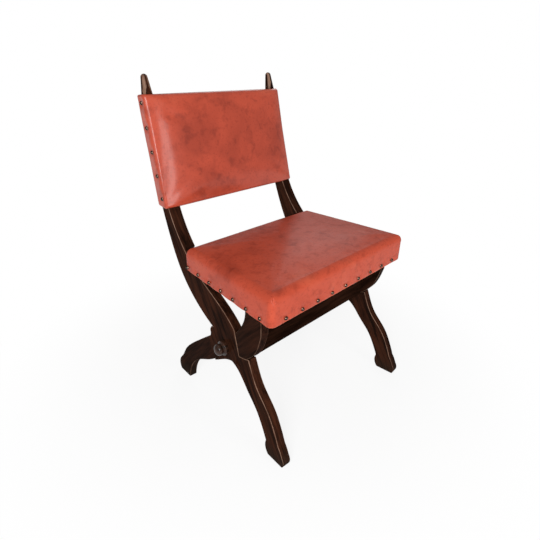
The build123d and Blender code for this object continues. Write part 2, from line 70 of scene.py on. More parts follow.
def colour(name, description, default):
    return bpy.props.FloatVectorProperty(
        name=name, description=description, default=default, subtype="COLOR", size=3, min=0, max=1)


class ChairSizes(bpy.types.PropertyGroup):
    """Lengths of the padded and woven pieces."""
    frame_half: length("Frame half width", "Half the width over the side frames at the seat's middle", 0.243)
    splay: bpy.props.FloatProperty(
        name="Splay", description="Metres that each side frame leans in per metre of depth", default=0.078)
    leather: length("Leather thickness", "Thickness of the hide", 0.0022)
    seat_proud: length("Seat overhang", "How far the seat cover stands outside the side frames", 0.005)
    seat_corner: length("Seat corner radius", "Rounding of the seat's upright corners", 0.015)
    seat_edge: length("Seat edge radius", "Rounding along the seat's upper edge", 0.020)
    seat_front_top: length("Seat front height", "Height of the seat's front edge", 0.468)
    seat_rear_top: length("Seat rear height", "Height of the seat's rear edge", 0.452)
    seat_crown: length("Seat crown", "Rise of the seat's middle over its edges before it is filled", 0.006)
    back_proud: length("Back overhang", "How far the back cover stands outside the posts", 0.0085)
    back_corner: length("Back corner radius", "Rounding of the back pad's corners", 0.006)
    back_edge: length("Back edge radius", "Rounding along the back pad's front edges", 0.008)
    back_roll: length("Back roll", "How far the pad's face curves back at its two sides", 0.011)
    post_thickness: length("Post thickness", "Thickness of the posts above the seat", 0.034)
    cell: length("Mesh cell", "Size of a mesh cell on the covers", 0.007)
    swell: length("Filling swell", "Most that the filling may push a cover out", 0.005)
    strap_width: length("Strap width", "Width of one webbing strap", 0.050)


class ChairColours(bpy.types.PropertyGroup):
    """Colours of the finishes."""
    leather_main: colour("Leather", "Main colour of the hide", (0.45, 0.064, 0.031))
    leather_dark: colour("Leather, dark", "Darker clouds in the hide", (0.19, 0.022, 0.011))
    leather_worn: colour("Leather, worn", "Rubbed edges and folds", (0.62, 0.16, 0.085))
    oak_dark: colour("Oak, dark", "Deep stain in the pores", (0.0075, 0.0034, 0.0022))
    oak_main: colour("Oak", "Stained oak", (0.042, 0.0145, 0.0075))
    oak_worn_and_highlight: colour("Oak, worn and highlight", "Rubbed arrises and painted arris highlights", (0.28, 0.165, 0.115))
    bracket_main: colour("Bracket oak", "Greyer stain of the bracket boards", (0.026, 0.0100, 0.0058))
    board_dark: colour("Front board, dark", "Deep stain in the front board's pores", (0.005, 0.0022, 0.0014))
    board_main: colour("Front board", "Stain of the front board", (0.022, 0.0085, 0.0048))
    beech_main: colour("Beech", "Unfinished rails inside the covers", (0.50, 0.33, 0.18))
    jute_main: colour("Jute", "Webbing and hessian", (0.40, 0.28, 0.15))
    bronze: colour("Bronze", "Upholstery nails", (0.14, 0.085, 0.060))
    steel: colour("Steel", "Screws of the glue blocks", (0.42, 0.42, 0.43))


def sizes():
    return bpy.context.scene.chair_sizes


def colours():
    return bpy.context.scene.chair_colours


def half(y):
    """Half width over the side frames' outer faces at depth y."""
    return sizes().frame_half - sizes().splay * (y - MID_Y)


# ---- node helpers -----------------------------------------------------------
def new_group(name, inputs, outputs):
    """A shader node group, the sockets it is given and the sockets it puts out, by name."""
    group = bpy.data.node_groups.new(name, "ShaderNodeTree")
    for way, sockets in (("INPUT", inputs), ("OUTPUT", outputs)):
        for label, kind in sockets.items():
            group.interface.new_socket(label, in_out=way, socket_type=f"NodeSocket{kind}")
    return group, group.nodes.new("NodeGroupInput").outputs, group.nodes.new("NodeGroupOutput").inputs


def is_socket(source):
    return isinstance(source, bpy.types.NodeSocket)


def pick(sockets, name, kind):
    """The socket of this name and kind; a mix node has several of one name."""
    return next(s for s in sockets if s.name == name and s.type == kind)


class Wiring:
    """Short ways to add and join the nodes of one tree."""

    def __init__(self, tree):
        self.tree = tree

    def node(self, kind, links=None, **settings):
        made = self.tree.nodes.new(kind)
        for key, value in settings.items():
            setattr(made, key, value)
        for socket, source in (links or {}).items():
            self.feed(made.inputs[socket], source)
        return made

    def feed(self, socket, source):
        """Link a socket to another one, or set it to a constant."""
        if is_socket(source):
            self.tree.links.new(source, socket)
        else:
            socket.default_value = source

    def math(self, operation, a, b=0.0, clamp=False):
        return self.node("ShaderNodeMath", {0: a, 1: b}, operation=operation, use_clamp=clamp).outputs[0]

    def plus(self, a, b, clamp=False):
        return self.math("ADD", a, b, clamp)

    def minus(self, a, b):
        return self.math("SUBTRACT", a, b)

    def times(self, a, b, clamp=False):
        return self.math("MULTIPLY", a, b, clamp)

    def noise(self, vector, scale, detail=3.0, rough=0.5, twist=0.0):
        return self.node("ShaderNodeTexNoise", {
            "Vector": vector, "Scale": scale, "Detail": detail, "Roughness": rough, "Distortion": twist,
        }).outputs["Fac"]

    def band(self, value, low, high, to_low=0.0, to_high=1.0, kind="SMOOTHSTEP"):
        """Value's range from low to high, stretched over the range from to_low to to_high."""
        return self.node("ShaderNodeMapRange", {
            "Value": value, "From Min": low, "From Max": high, "To Min": to_low, "To Max": to_high,
        }, interpolation_type=kind).outputs["Result"]

    def ramp(self, value, start, end):
        """A straight change from start at 0 to end at 1."""
        return self.band(value, 0.0, 1.0, start, end, "LINEAR")

    def blend(self, factor, a, b, kind="MIX"):
        """Mix of two colours, which are sockets or plain colours."""
        made = self.node("ShaderNodeMix", data_type="RGBA", blend_type=kind)
        self.feed(pick(made.inputs, "Factor", "VALUE"), factor)
        for label, value in (("A", a), ("B", b)):
            self.feed(pick(made.inputs, label, "RGBA"), value if is_socket(value) else (*value, 1.0))
        return pick(made.outputs, "Result", "RGBA")

    def scaled(self, vector, scale):
        return self.node("ShaderNodeVectorMath", {0: vector, "Scale": scale}, operation="SCALE").outputs[0]

    def mapped(self, vector, scale=(1, 1, 1), turn=(0, 0, 0)):
        return self.node("ShaderNodeMapping", {"Vector": vector, "Scale": scale, "Rotation": turn}).outputs[0]

    def group(self, name, build, links):
        """One shared effect, made by build the first time it is used."""
        made = self.node("ShaderNodeGroup", node_tree=bpy.data.node_groups.get(name) or build(name))
        for label, source in links.items():
            socket = made.inputs[label]
            if socket.type == "RGBA" and not is_socket(source):
                source = (*source, 1.0)
            self.feed(socket, source)
        return made.outputs

    def finish(self, base, rough, height, distance, strength):
        """Join colour, roughness and relief to the material's shader."""
        shader = self.tree.nodes["Principled BSDF"].inputs
        relief = self.node("ShaderNodeBump", {"Height": height, "Distance": distance, "Strength": strength})
        self.feed(shader["Base Color"], base)
        self.feed(shader["Roughness"], rough)
        self.feed(shader["Normal"], relief.outputs["Normal"])


# ---- effects shared by several materials ------------------------------------
def build_wood_figure(name):
    """Long streaks and pores along the second axis of the vector it is given."""
    group, given, out = new_group(
        name, {"Vector": "Vector", "Streak Scale": "Float"},
        {"Streaks": "Float", "Pores": "Float", "Clouds": "Float"})
    w = Wiring(group)
    scaled = w.scaled(given["Vector"], given["Streak Scale"])
    drift = w.times(w.noise(w.mapped(scaled, (3, 2, 3)), 1.0, 2.0), 0.05)
    sway = w.node("ShaderNodeCombineXYZ", {"X": drift, "Z": drift}).outputs[0]
    bent = w.node("ShaderNodeVectorMath", {0: scaled, 1: sway}, operation="ADD").outputs[0]
    broad = w.noise(w.mapped(bent, (70, 5, 70)), 1.0, 4.0, 0.6)
    fine = w.noise(w.mapped(bent, (330, 12, 330)), 1.0, 3.0, 0.6)
    pores = w.noise(w.mapped(bent, (900, 32, 900)), 1.0, 2.0, 0.5)
    w.feed(out["Streaks"], w.band(w.plus(w.times(broad, 0.65), w.times(fine, 0.35)), 0.36, 0.64))
    w.feed(out["Pores"], w.band(pores, 0.60, 0.70))
    w.feed(out["Clouds"], w.band(w.noise(scaled, 9.0, 3.0), 0.35, 0.65))
    return group


def build_worn_and_highlit_arrises(name):
    """Mask of the rounded arrises of a board whose broad faces look along Face, where both wear and a painted
    highlight go.
    """
    group, given, out = new_group(
        name, {"Face": "Vector", "Patchiness": "Float", "Vector": "Vector"}, {"Mask": "Float"})
    w = Wiring(group)
    normal = w.node("ShaderNodeNewGeometry").outputs["Normal"]
    facing = w.node("ShaderNodeVectorMath", {0: normal, 1: given["Face"]}, operation="DOT_PRODUCT")
    lean = w.math("ABSOLUTE", facing.outputs["Value"])
    ring = w.times(w.band(lean, 0.10, 0.45), w.band(lean, 0.97, 0.80))
    patches = w.band(w.noise(given["Vector"], 26.0, 4.0, 0.65), 0.30, 0.62)
    kept = w.minus(1.0, w.times(given["Patchiness"], w.minus(1.0, patches)))
    w.feed(out["Mask"], w.times(ring, kept, clamp=True))
    return group


def build_floor_grime(name):
    """Mask of scuffs and dirt that rise from the floor to Reach."""
    group, given, out = new_group(name, {"Vector": "Vector", "Reach": "Float"}, {"Mask": "Float"})
    w = Wiring(group)
    height = w.node("ShaderNodeSeparateXYZ", {0: given["Vector"]}).outputs["Z"]
    ragged = w.plus(height, w.times(w.noise(given["Vector"], 60.0, 4.0, 0.7), 0.03))
    w.feed(out["Mask"], w.band(ragged, given["Reach"], 0.012))
    return group


def build_hide(name):
    """Colour, roughness and relief of a glazed hide."""
    group, given, out = new_group(
        name, {"Vector": "Vector", "Main": "Color", "Dark": "Color", "Worn": "Color", "Rubbed": "Float"},
        {"Color": "Color", "Roughness": "Float", "Height": "Float"})
    w = Wiring(group)
    vector = given["Vector"]
    clouds = w.noise(vector, 7.0, 3.5, 0.55, 0.6)
    small = w.noise(vector, 34.0, 4.0, 0.6, 0.3)
    specks = w.noise(vector, 160.0, 3.0, 0.6)
    dark = w.plus(w.times(w.band(clouds, 0.50, 0.72), 0.52), w.times(w.band(small, 0.50, 0.70), 0.46))
    base = w.blend(w.times(dark, 0.8, clamp=True), given["Main"], given["Dark"])
    base = w.blend(w.times(w.band(clouds, 0.46, 0.26), 0.22), base, given["Worn"])
    base = w.blend(w.times(w.band(specks, 0.52, 0.70), 0.34), base, given["Dark"])
    w.feed(out["Color"], w.blend(given["Rubbed"], base, given["Worn"]))
    rough = w.plus(0.40, w.times(w.minus(small, 0.5), 0.25))
    w.feed(out["Roughness"], w.plus(rough, w.times(specks, 0.06), clamp=True))
    pebble = w.node("ShaderNodeTexVoronoi", {"Vector": vector, "Scale": 620.0, "Randomness": 1.0},
                    feature="SMOOTH_F1").outputs["Distance"]
    creases = w.noise(vector, 95.0, 5.0, 0.65, 1.2)
    w.feed(out["Height"], w.plus(w.times(pebble, 0.25), w.times(creases, 0.75)))
    return group


def build_weave(name):
    """Plain weave of coarse threads in the plane of the vector's first two axes, with painted shade in the
    hollows between them.
    """
    group, given, out = new_group(
        name, {"Vector": "Vector", "Threads": "Float", "Main": "Color"},
        {"Color": "Color", "Height": "Float"})
    w = Wiring(group)
    wobble = w.times(w.noise(given["Vector"], 60.0, 2.0), 3.0)
    place = w.node("ShaderNodeSeparateXYZ", {0: w.scaled(given["Vector"], given["Threads"])}).outputs
    across, along = (w.times(w.plus(place[axis], wobble), math.pi) for axis in ("X", "Y"))
    warp = w.times(w.math("SINE", across), w.math("COSINE", along))
    weft = w.times(w.math("COSINE", across), w.math("SINE", along))
    height = w.math("MAXIMUM", w.math("ABSOLUTE", warp), w.math("ABSOLUTE", weft))
    slubs = w.noise(w.mapped(given["Vector"], (300, 30, 300)), 1.0, 3.0)
    # Painted shade: darker where the weave's height falls between the threads, and darker at random along the
    # slubs.
    shade = w.times(w.band(height, 0.2, 0.9), w.band(slubs, 0.2, 0.8, 0.6, 1.0))
    dark = w.blend(1.0, given["Main"], THREAD_SHADE, "MULTIPLY")
    w.feed(out["Color"], w.blend(shade, dark, given["Main"]))
    w.feed(out["Height"], height)
    return group


# ---- materials --------------------------------------------------------------
# Turns that bring the second axis of a texture, its grain or warp, to an axis of the chair.
ACROSS = (0, 0, math.pi / 2)
DEEP = (0, 0, 0)
UPRIGHT = (math.pi / 2, 0, 0)

# Second colours of the finishes; the shades and the warmth multiply a main colour.
WARMTH = (1.35, 1.12, 1.0)
FLOOR_DIRT = (0.02, 0.014, 0.010)
BEECH_SHADE = (0.62, 0.55, 0.50)
BEECH_PORES = (0.17, 0.09, 0.05)
BEECH_DUST = (0.30, 0.22, 0.15)
# Painted shade in the hollows between a weave's threads.
THREAD_SHADE = (0.28, 0.26, 0.24)
JUTE_DIRT = (0.12, 0.085, 0.05)
# Painted shade round the rim of a nail's dome, lighter or deeper with the tarnish.
BRONZE_RIM_SHADE = (0.022, 0.014, 0.010)
BRONZE_RIM_SHADE_DEEP = (0.010, 0.007, 0.005)
RUST = (0.20, 0.10, 0.06)


def start_material(name, metallic=0.0, coat=0.0, coat_rough=0.2, specular=0.5):
    """A new material, the wiring of its tree and its object coordinates."""
    material = bpy.data.materials.new(name)
    material.use_nodes = True
    w = Wiring(material.node_tree)
    shader = w.tree.nodes["Principled BSDF"].inputs
    shader["Metallic"].default_value = metallic
    shader["Coat Weight"].default_value = coat
    shader["Coat Roughness"].default_value = coat_rough
    shader["Specular IOR Level"].default_value = specular
    return material, w, w.node("ShaderNodeTexCoord").outputs["Object"]


def wood_figure(w, place, turn, streak_scale):
    return w.group("Wood figure", build_wood_figure, {
        "Vector": w.mapped(place, turn=turn), "Streak Scale": streak_scale})


def worn_and_highlit_arrises(w, place, face, patchiness):
    return w.group("Arris wear", build_worn_and_highlit_arrises, {
        "Face": face, "Patchiness": patchiness, "Vector": place})["Mask"]


def oak(name, main, grain_angle, face, wear):
    """Dark stained and waxed oak whose grain runs in the side view at grain_angle from the floor."""
    c = colours()
    material, w, place = start_material(name, specular=0.0, coat=0.03, coat_rough=0.12)
    figure = wood_figure(w, place, (-grain_angle, 0, 0), 1.0)
    worn = worn_and_highlit_arrises(w, place, face, 0.75)
    grime = w.group("Floor grime", build_floor_grime, {"Vector": place, "Reach": 0.07})["Mask"]
    base = w.blend(figure["Streaks"], c.oak_dark, main)
    base = w.blend(w.times(figure["Clouds"], 0.5), base, w.blend(1.0, base, WARMTH, "MULTIPLY"))
    base = w.blend(w.times(figure["Pores"], 0.75), base, c.oak_dark)
    # Lighter arrises: partly real wear, partly a painted highlight along the rounded edges.
    base = w.blend(w.times(worn, wear), base, c.oak_worn_and_highlight)
    base = w.blend(w.times(grime, 0.6), base, FLOOR_DIRT)
    rough = w.plus(w.ramp(figure["Streaks"], 0.50, 0.34), w.times(grime, 0.25), clamp=True)
    w.finish(base, rough, w.minus(w.times(figure["Streaks"], 0.5), figure["Pores"]), 0.0002, 0.3)
    return material


def turned_oak(name):
    """The same oak on a turned piece, with its grain across the chair."""
    c = colours()
    material, w, place = start_material(name, specular=0.12, coat=0.22, coat_rough=0.10)
    figure = wood_figure(w, place, ACROSS, 1.6)
    base = w.blend(figure["Streaks"], c.oak_dark, c.oak_main)
    base = w.blend(w.times(figure["Pores"], 0.7), base, c.oak_dark)
    polish = w.band(w.noise(place, 120.0, 3.0), 0.45, 0.7)
    base = w.blend(w.times(polish, 0.08), base, c.oak_worn_and_highlight)
    w.finish(base, w.ramp(polish, 0.38, 0.26), w.minus(figure["Streaks"], figure["Pores"]), 0.0003, 0.5)
    return material


def board_oak(name):
    """Deeply stained, dull oak with its grain across the chair."""
    c = colours()
    material, w, place = start_material(name, specular=0.0)
    figure = wood_figure(w, place, ACROSS, 0.9)
    worn = worn_and_highlit_arrises(w, place, (0, 1, 0), 0.6)
    base = w.blend(figure["Streaks"], c.board_dark, c.board_main)
    base = w.blend(w.times(figure["Pores"], 0.7), base, c.board_dark)
    # Lighter arrises: partly real wear, partly a painted highlight along the rounded edges.
    base = w.blend(w.times(worn, 0.3), base, c.oak_worn_and_highlight)
    rough = w.ramp(figure["Streaks"], 0.50, 0.36)
    w.finish(base, rough, w.minus(figure["Streaks"], figure["Pores"]), 0.0002, 0.3)
    return material


def beech(name, turn):
    """Unfinished beech with flecks, a little dusty."""
    c = colours()
    material, w, place = start_material(name)
    figure = wood_figure(w, place, turn, 1.3)
    base = w.blend(figure["Streaks"], w.blend(1.0, c.beech_main, BEECH_SHADE, "MULTIPLY"), c.beech_main)
    base = w.blend(w.times(figure["Pores"], 0.5), base, BEECH_PORES)
    base = w.blend(w.times(figure["Clouds"], 0.25), base, BEECH_DUST)
    rough = w.ramp(figure["Clouds"], 0.55, 0.72)
    w.finish(base, rough, w.minus(figure["Streaks"], figure["Pores"]), 0.0003, 0.5)
    return material


def leather(name, rim_axis, rim_from, rim_to, glaze):
    """Glazed red hide, rubbed lighter towards its cut rim along one axis."""
    c = colours()
    material, w, place = start_material(name, specular=0.10, coat=glaze, coat_rough=0.22)
    along = w.node("ShaderNodeSeparateXYZ", {0: place}).outputs[rim_axis]
    ragged = w.plus(along, w.times(w.noise(place, 90.0, 3.0), 0.0012))
    hide = w.group("Hide", build_hide, {
        "Vector": place, "Main": c.leather_main, "Dark": c.leather_dark, "Worn": c.leather_worn,
        "Rubbed": w.times(w.band(ragged, rim_from, rim_to), 0.55)})
    w.finish(hide["Color"], hide["Roughness"], hide["Height"], 0.0005, 0.35)
    return material


def jute(name, threads, turn=DEEP):
    """Coarse woven jute."""
    material, w, place = start_material(name, specular=0.2)
    weave = w.group("Weave", build_weave, {
        "Vector": w.mapped(place, turn=turn), "Threads": threads, "Main": colours().jute_main})
    dirt = w.band(w.noise(place, 22.0, 4.0), 0.45, 0.75)
    base = w.blend(w.times(dirt, 0.35), weave["Color"], JUTE_DIRT)
    w.finish(base, w.ramp(dirt, 0.80, 0.95), weave["Height"], 0.0006, 0.8)
    return material


def nail_bronze(name):
    """Antiqued bronze: a painted shade round each dome's rim as the eye sees it, and the plain bronze on its
    crown as a painted highlight.
    """
    material, w, place = start_material(name, metallic=0.9)
    tarnish = w.band(w.noise(place, 240.0, 4.0, 0.6), 0.35, 0.7)
    # The view's Facing puts the painted shade on each dome's rim and leaves the plain bronze on its crown as
    # a painted highlight.
    facing = w.node("ShaderNodeLayerWeight", {"Blend": 0.5}).outputs["Facing"]
    rim_shade = w.blend(tarnish, BRONZE_RIM_SHADE, BRONZE_RIM_SHADE_DEEP)
    base = w.blend(w.band(facing, 0.24, 0.08), rim_shade, colours().bronze)
    w.finish(base, w.ramp(tarnish, 0.18, 0.34), w.noise(place, 700.0, 3.0), 0.0002, 0.5)
    return material


def screw_steel(name):
    """Plain drawn steel with a light bloom of rust."""
    material, w, place = start_material(name, metallic=0.9)
    bloom = w.band(w.noise(place, 300.0, 4.0, 0.6), 0.50, 0.75)
    base = w.blend(w.times(bloom, 0.6), colours().steel, RUST)
    w.finish(base, w.ramp(bloom, 0.30, 0.6), bloom, 0.0001, 0.4)
    return material


def dress(node, material):
    """Give a carried-over node its finish."""
    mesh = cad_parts[node].data
    mesh.materials.clear()
    mesh.materials.append(material)


# ---- mesh helpers -----------------------------------------------------------
def add_object(name, mesh, smooth=True):
    made = bpy.data.objects.new(name, mesh)
    bpy.context.scene.collection.objects.link(made)
    if smooth:
        mesh.polygons.foreach_set("use_smooth", [True] * len(mesh.polygons))
    return made


def coordinates(mesh):
    points = np.zeros(len(mesh.vertices) * 3)
    mesh.vertices.foreach_get("co", points)
    return points.reshape(-1, 3)


def set_coordinates(mesh, points):
    mesh.vertices.foreach_set("co", np.asarray(points, float).ravel())
    mesh.update()


def vertex_normals(mesh):
    normals = np.zeros(len(mesh.vertices) * 3)
    mesh.vertex_normals.foreach_get("vector", normals)
    return normals.reshape(-1, 3)


def bake_modifiers(piece):
    """Replace a piece's mesh with the one its modifiers make."""
    graph = bpy.context.evaluated_depsgraph_get()
    made = bpy.data.meshes.new_from_object(piece.evaluated_get(graph))
    piece.modifiers.clear()
    piece.data = made
    made.materials.clear()
    made.polygons.foreach_set("material_index", [0] * len(made.polygons))
    made.polygons.foreach_set("use_smooth", [True] * len(made.polygons))
    return made


def smoothed(piece):
    """Smooth a cover once; its new mesh, points and normals."""
    piece.modifiers.new("Smooth", "SUBSURF").levels = 1
    mesh = bake_modifiers(piece)
    return mesh, coordinates(mesh), vertex_normals(mesh)


def closed_mesh(name, points, faces):
    """A closed mesh with every face looking outwards."""
    mesh = bpy.data.meshes.new(name)
    mesh.from_pydata(points, [], faces)
    work = bmesh.new()
    work.from_mesh(mesh)
    bmesh.ops.recalc_face_normals(work, faces=work.faces)
    work.to_mesh(mesh)
    work.free()
    return mesh


def smoothstep(values, low, high):
    t = np.clip((values - low) / (high - low), 0, 1)
    return t * t * (3 - 2 * t)


def grid_lines(half_length, radius, corner_cells, middle_cells):
    """Grid lines from edge to edge, with corner_cells in each rounded corner."""
    low = [-half_length + radius * k / corner_cells for k in range(corner_cells)]
    middle = list(np.linspace(radius - half_length, half_length - radius, middle_cells + 1))
    return np.array(low + middle + [-v for v in reversed(low)])


# Rings of faces on the rolled edge of a cover.
EDGE_ROWS = 4


class Plan:
    """A rounded rectangle filled with a grid that follows its corners."""

    def __init__(self, half_x, half_y, radius, cell, corner_cells=3):
        self.half_x, self.half_y, self.radius = half_x, half_y, radius
        self.corner_cells = corner_cells
        self.cells_x = max(4, round(2 * (half_x - radius) / cell))
        self.cells_y = max(4, round(2 * (half_y - radius) / cell))
        self.nx = self.cells_x + 2 * corner_cells
        self.ny = self.cells_y + 2 * corner_cells
        self.rim = [(i, 0) for i in range(self.nx)] + [(self.nx, j) for j in range(self.ny)]
        self.rim += [(i, self.ny) for i in range(self.nx, 0, -1)] + [(0, j) for j in range(self.ny, 0, -1)]

    def grid(self, offset):
        """All grid points for an outline moved outwards by offset."""
        radius = max(self.radius + offset, 0.002)
        half_x, half_y = self.half_x + offset, self.half_y + offset
        xs = grid_lines(half_x, radius, self.corner_cells, self.cells_x)
        ys = grid_lines(half_y, radius, self.corner_cells, self.cells_y)
        x, y = np.meshgrid(xs, ys, indexing="ij")
        a = np.maximum(np.abs(x) - (half_x - radius), 0)
        b = np.maximum(np.abs(y) - (half_y - radius), 0)
        pull_a = a * (1 - np.sqrt(1 - b * b / (2 * radius * radius)))
        pull_b = b * (1 - np.sqrt(1 - a * a / (2 * radius * radius)))
        return np.stack([x - np.sign(x) * pull_a, y - np.sign(y) * pull_b], axis=-1)

    def ring(self, offset):
        points = self.grid(offset)
        return np.array([points[i, j] for i, j in self.rim])

    def inner_first(self, rows):
        """Index of the first point of the inner sides, in a padded_cover with this many rows."""
        return (self.nx + 1) * (self.ny + 1) + len(self.rim) * (EDGE_ROWS + rows + 1)


def padded_cover(name, plan, edge, skin, rows, inner_rows, place, floor_level):
    """Closed cover: crowned face, rolled edge, sides to a rim, inner sides and a flat under face.

    place(points, share, drop) turns plan points into points of the chair: share runs from 0 at the
    rolled edge to 1 at the rim, and drop is the distance under the crowned face.
    """
    points, faces = [], []

    def add(new):
        first = sum(len(p) for p in points)
        points.append(new)
        return first

    face_grid = plan.grid(-edge)
    nx, ny = plan.nx, plan.ny
    face_first = add(place(face_grid.reshape(-1, 2), 0.0, 0.0))
    previous = [face_first + i * (ny + 1) + j for i, j in plan.rim]
    for i in range(nx):
        for j in range(ny):
            a = face_first + i * (ny + 1) + j
            faces.append((a, a + ny + 1, a + ny + 2, a + 1))
    count = len(plan.rim)
    levels = []
    for k in range(1, EDGE_ROWS + 1):
        angle = k / EDGE_ROWS * math.pi / 2
        levels.append((-edge + edge * math.sin(angle), 0.0, edge * (1 - math.cos(angle))))
    for k in range(1, rows + 1):
        levels.append((0.0, k / rows, edge))
    levels.append((-skin / 2, 1.0, edge + skin / 2))
    for k in range(inner_rows + 1):
        levels.append((-skin, 1.0 - (1 - floor_level) * k / inner_rows, edge))
    for offset, share, drop in levels:
        first = add(place(plan.ring(offset), share, drop))
        ring = [first + k for k in range(count)]
        for k in range(count):
            faces.append((previous[k], ring[k], ring[(k + 1) % count], previous[(k + 1) % count]))
        previous = ring
    under = plan.grid(-skin)
    inside = dict(zip(plan.rim, previous))
    for i in range(1, nx):
        for j in range(1, ny):
            inside[i, j] = add(place(under[i, j].reshape(1, 2), floor_level, edge))
    for i in range(nx):
        for j in range(ny):
            faces.append((inside[i, j], inside[i, j + 1], inside[i + 1, j + 1], inside[i + 1, j]))
    return add_object(name, closed_mesh(name, np.concatenate(points).tolist(), faces))


# The filling: frames it is given, how far the hide may sink, and the part of its sideways slide that is kept.
FILLING_FRAMES = 20
MOST_SUNK = 0.0006
SLIDE_KEPT = 0.3


def fill_cover(piece, hold, cap, pressure=4.0, stiffness=18.0):
    """Blow the cover up by a short cloth simulation, by cap at most; hold is 1 where it is tacked."""
    start, normals = coordinates(piece.data), vertex_normals(piece.data)
    scene = bpy.context.scene
    pins = piece.vertex_groups.new(name="tacked")
    for index, weight in enumerate(hold):
        pins.add([index], float(weight), "REPLACE")
    cloth = piece.modifiers.new("Filling", "CLOTH")
    settings = cloth.settings
    settings.quality = 6
    settings.mass = 0.3
    settings.use_pressure = True
    settings.uniform_pressure_force = pressure
    settings.tension_stiffness = stiffness
    settings.compression_stiffness = stiffness
    settings.shear_stiffness = stiffness / 2
    settings.bending_stiffness = 2.0
    settings.vertex_group_mass = "tacked"
    settings.effector_weights.gravity = 0.0
    cloth.collision_settings.use_collision = False
    cloth.point_cache.frame_start = 1
    cloth.point_cache.frame_end = FILLING_FRAMES
    for step in range(1, FILLING_FRAMES + 1):
        scene.frame_set(step)
    result = coordinates(piece.evaluated_get(bpy.context.evaluated_depsgraph_get()).data)
    piece.modifiers.clear()
    piece.vertex_groups.clear()
    scene.frame_set(1)
    move = result - start
    outward = np.sum(move * normals, axis=1)
    along = move - normals * outward[:, None]
    outward = np.maximum(outward, -MOST_SUNK)
    fit = min(1.0, cap / max(float(outward.max()), 1e-6))
    move = (normals * outward[:, None] + along * SLIDE_KEPT) * fit
    set_coordinates(piece.data, start + move * (1 - hold)[:, None])


def nail_spots(node):
    """Centre of each nail's head in a node of separate nails."""
    work = bmesh.new()
    work.from_mesh(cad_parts[node].data)
    seen, spots = set(), []
    for vertex in work.verts:
        if vertex in seen:
            continue
        stack, island = [vertex], []
        seen.add(vertex)
        while stack:
            current = stack.pop()
            island.append(current.co.copy())
            for edge in current.link_edges:
                other = edge.other_vert(current)
                if other not in seen:
                    seen.add(other)
                    stack.append(other)
        spots.append(np.mean([tuple(p) for p in island], axis=0))
    work.free()
    return spots


def press_nails(points, normals, nodes, depth=0.0009, reach=0.010):
    """Draw the hide in round each nail."""
    moved = points.copy()
    for node in nodes:
        for spot in nail_spots(node):
            away = np.linalg.norm(points - spot, axis=1)
            moved -= normals * (depth * np.exp(-((away / reach) ** 2)))[:, None]
    return moved


def ripple(points, scale, seed=0.0):
    """Smooth deterministic noise at each point."""
    return np.array([noise.noise(Vector(p) * scale + Vector((seed, seed, seed))) for p in points])


def cut_away(piece, outline, near, far):
    """Cut a prism out of both sides, from near to far inwards; its outline is in depth and height."""
    count = len(outline)
    faces = [tuple(range(count)), tuple(reversed(range(count, 2 * count)))]
    faces += [(k, k + count, (k + 1) % count + count, (k + 1) % count) for k in range(count)]
    cutters = []
    for side in (-1, 1):
        points = [(side * (half(y) - inwards), y, z) for inwards in (near, far) for y, z in outline]
        cutter = add_object("cutter", closed_mesh("cutter", points, faces), smooth=False)
        cutters.append(cutter)
        cut = piece.modifiers.new("Opening", "BOOLEAN")
        cut.operation = "DIFFERENCE"
        cut.solver = "MANIFOLD"
        cut.object = cutter
    bake_modifiers(piece)
    for cutter in cutters:
        bpy.data.objects.remove(cutter)


def strip(name, path, width_axis, width, thickness, segments_across=6):
    """A woven strap with thickness that follows path, a list of points."""
    points, faces = [], []
    side = Vector(width_axis)
    count = segments_across + 1
    for p in path:
        for lift in (thickness, 0):
            for k in range(count):
                share = k / segments_across - 0.5
                points.append(tuple(Vector(p) + side * (share * width) + Vector((0, 0, lift))))
    loop = list(range(count)) + list(range(2 * count - 1, count - 1, -1))
    for i in range(len(path) - 1):
        a, b = i * 2 * count, (i + 1) * 2 * count
        for k in range(len(loop)):
            n = (k + 1) % len(loop)
            faces.append((a + loop[k], b + loop[k], b + loop[n], a + loop[n]))
    faces.append(tuple(reversed(loop)))
    last = (len(path) - 1) * 2 * count
    faces.append(tuple(last + index for index in loop))
    return closed_mesh(name, points, faces)


def thin_cloth(name, grid, thickness, direction):
    """A closed thin sheet from a grid of points, thickened along direction."""
    rows, columns = grid.shape[:2]
    top = grid.reshape(-1, 3)
    under = top + np.array(direction) * thickness
    points = np.concatenate([top, under])
    size = rows * columns
    faces = []
    for i in range(rows - 1):
        for j in range(columns - 1):
            a = i * columns + j
            faces.append((a, a + columns, a + columns + 1, a + 1))
            faces.append((size + a, size + a + 1, size + a + columns + 1, size + a + columns))
    border = [(i, 0) for i in range(rows - 1)] + [(rows - 1, j) for j in range(columns - 1)]
    border += [(i, columns - 1) for i in range(rows - 1, 0, -1)] + [(0, j) for j in range(columns - 1, 0, -1)]
    ids = [i * columns + j for i, j in border]
    for k in range(len(ids)):
        n = ids[(k + 1) % len(ids)]
        faces.append((ids[k], n, size + n, size + ids[k]))
    return add_object(name, closed_mesh(name, points.tolist(), faces))


def sheet_grid(rows, columns, ends, reach, point):
    """Grid of point(x, line), on lines between the two ends, out to reach(line) on both sides."""
    grid = np.zeros((rows, columns, 3))
    for row, line in enumerate(np.linspace(*ends, rows)):
        wide = reach(line)
        for column, x in enumerate(np.linspace(-wide, wide, columns)):
            grid[row, column] = point(x, line)
    return grid


def pull_of_threads(x, line, seed):
    """Smooth noise that shows where the threads of a hessian are pulled."""
    return noise.noise(Vector((x * 18, line * 18, seed)))


def join_meshes(name, meshes):
    work = bmesh.new()
    for mesh in meshes:
        work.from_mesh(mesh)
    made = bpy.data.meshes.new(name)
    work.to_mesh(made)
    work.free()
    return made


# Rows of faces down the sides and up the inner sides of the two covers.
SEAT_ROWS, SEAT_INNER_ROWS = 9, 5
BACK_ROWS, BACK_INNER_ROWS = 5, 4

